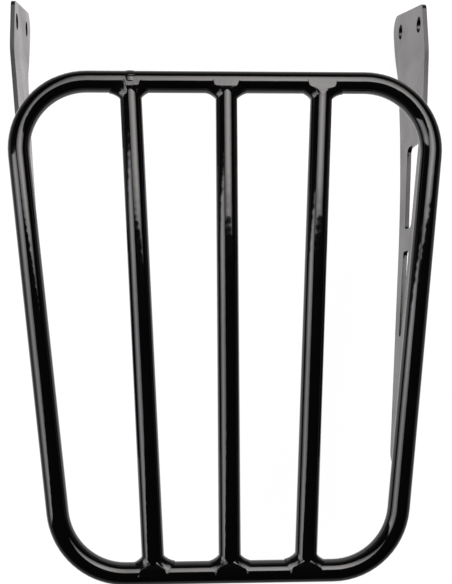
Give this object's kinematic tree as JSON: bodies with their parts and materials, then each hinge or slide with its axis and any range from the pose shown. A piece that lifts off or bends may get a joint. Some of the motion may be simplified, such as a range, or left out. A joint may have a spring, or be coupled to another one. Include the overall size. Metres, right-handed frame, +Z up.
{
  "type": "motorcycle luggage rack",
  "caption": "Welded tubular steel luggage rack: a tapered rounded hoop with fanned lengthwise bars on slotted side plates that bolt to the mudguard struts.",
  "frame": {"origin": "middle of the deck, half way between the front and rear rails on the centre plane, at the height of the tubes' tops", "axes": "+X to the rider's right, +Y forward along the motorcycle, towards the bolt tabs, +Z up out of the deck"},
  "size_m": [0.2616, 0.3634, 0.1281],
  "materials": {
    "tube_coat": "gloss black powder coat",
    "plate_coat": "gloss black powder coat on sheet",
    "weld_coat": "gloss black powder coat over weld bead"
  },
  "bodies": {
    "root": {"centre_bar": "tube_coat", "centre_bar_front_weld": "weld_coat", "centre_bar_rear_weld": "weld_coat", "hoop": "tube_coat", "hoop_seam_weld": "weld_coat", "left_bar": "tube_coat", "left_bar_front_weld": "weld_coat", "left_bar_rear_weld": "weld_coat", "left_inner_front_stitch": "weld_coat", "left_inner_middle_stitch": "weld_coat", "left_inner_rear_stitch": "weld_coat", "left_outer_front_stitch": "weld_coat", "left_outer_middle_stitch": "weld_coat", "left_outer_rear_stitch": "weld_coat", "left_side_plate": "plate_coat", "right_bar": "tube_coat", "right_bar_front_weld": "weld_coat", "right_bar_rear_weld": "weld_coat", "right_inner_front_stitch": "weld_coat", "right_inner_middle_stitch": "weld_coat", "right_inner_rear_stitch": "weld_coat", "right_outer_front_stitch": "weld_coat", "right_outer_middle_stitch": "weld_coat", "right_outer_rear_stitch": "weld_coat", "right_side_plate": "plate_coat"}
  },
  "joints": []
}
